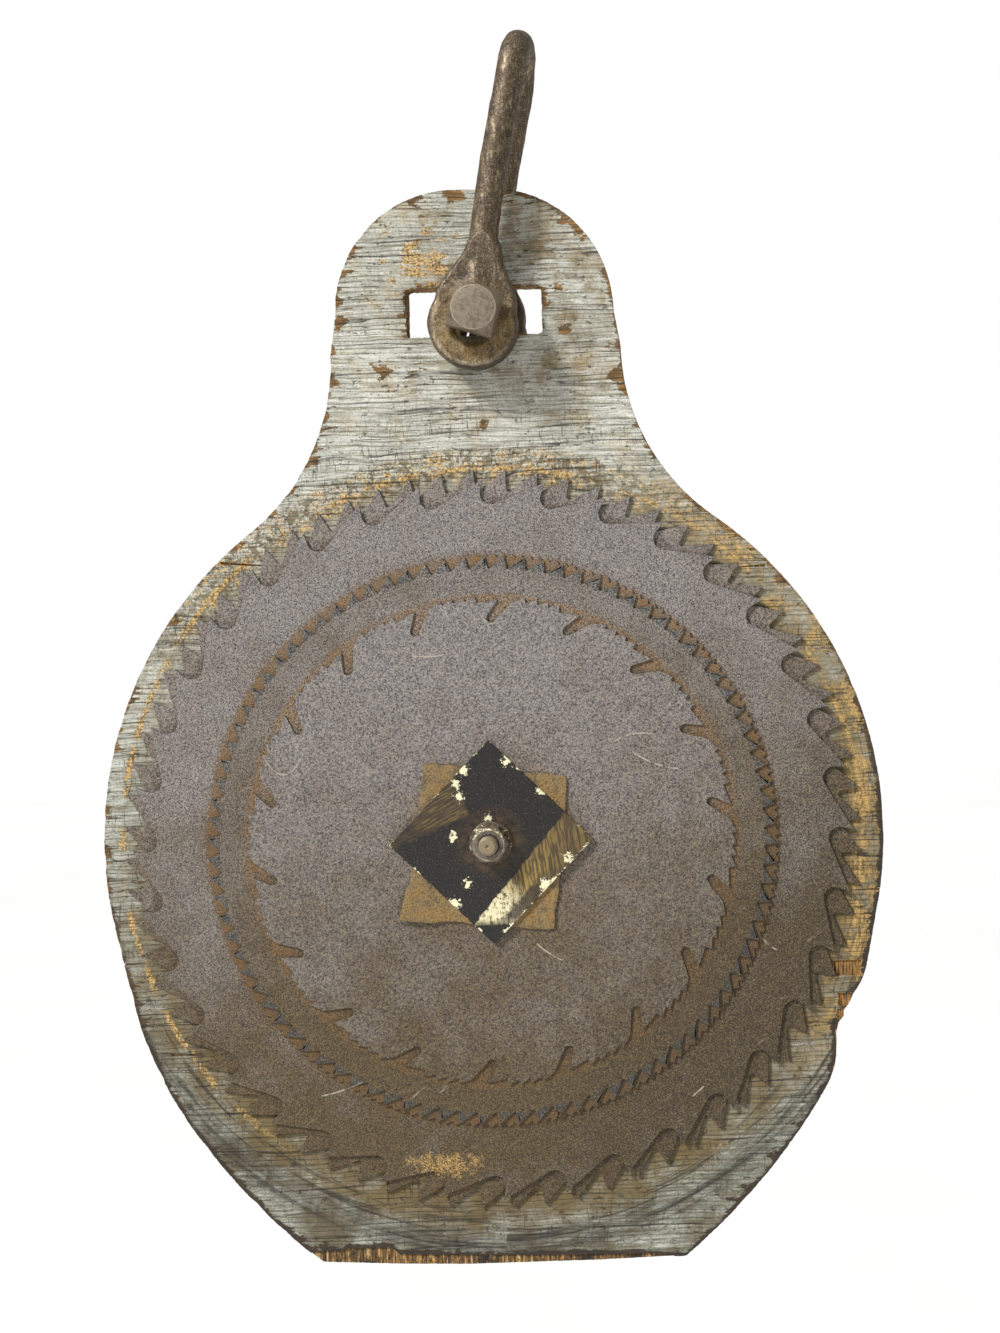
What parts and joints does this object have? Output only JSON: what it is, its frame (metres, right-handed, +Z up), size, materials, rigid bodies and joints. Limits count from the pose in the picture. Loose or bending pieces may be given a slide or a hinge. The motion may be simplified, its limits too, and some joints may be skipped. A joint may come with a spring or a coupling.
{
  "type": "advertising sign",
  "caption": "Hanging trade sign: a weathered plywood board shaped like a crane block, with stacked saw blades bolted to its face and a forged shackle that swings and slides in a slot.",
  "frame": {"origin": "middle of the board's bottom edge, at half the board's thickness", "axes": "+X right as seen from the front, +Y to the back, +Z up; the painted face and the blades look along -Y"},
  "size_m": [0.6448, 0.1567, 1.0218],
  "materials": {
    "painted_ply": "grey-green oil paint, crackled along the grain and worn to wood",
    "cross_ply": "bare softwood veneer, weathered",
    "core_ply": "bare softwood veneer, weathered",
    "rip_blade_steel": "saw steel with a dry brown rust",
    "crosscut_blade_steel": "saw steel, blued at the teeth, with a dry brown rust",
    "combination_blade_steel": "saw steel with a dry brown rust",
    "pad_leather": "dry vegetable-tanned leather",
    "plate_paint": "chipped black paint with brushed ochre patches",
    "fastener_steel": "rusted mild steel",
    "forged_iron": "hammer-forged, brown rust, rubbed at the edges"
  },
  "bodies": {
    "board": {"face_ply": "painted_ply", "front_cross_ply": "cross_ply", "core_ply": "core_ply", "rear_cross_ply": "cross_ply", "back_ply": "painted_ply", "rear_rip_blade": "rip_blade_steel", "front_rip_blade": "rip_blade_steel", "rip_blade_bush": "fastener_steel", "fine_tooth_blade": "crosscut_blade_steel", "crosscut_blade": "crosscut_blade_steel", "combination_blade": "combination_blade_steel", "small_blade_bush": "fastener_steel", "leather_pad": "pad_leather", "clamp_plate": "plate_paint", "front_washer": "fastener_steel", "centre_nut": "fastener_steel", "centre_bolt": "fastener_steel", "back_washer": "fastener_steel"},
    "bolt": {"shackle_bolt": "fastener_steel", "shackle_nut": "fastener_steel", "split_pin": "fastener_steel"},
    "shackle": {"shackle": "forged_iron"}
  },
  "joints": [
    {"name": "bolt_slide", "type": "slide", "parent": "board", "child": "bolt", "axis": [1, 0, 0], "range_m": [-0.0504, 0.0354]},
    {"name": "shackle_swing", "type": "hinge", "parent": "bolt", "child": "shackle", "pos_m": [0.0075, 0, 0.7817], "axis": [0, 1, 0], "range_deg": [-125, 105]}
  ]
}
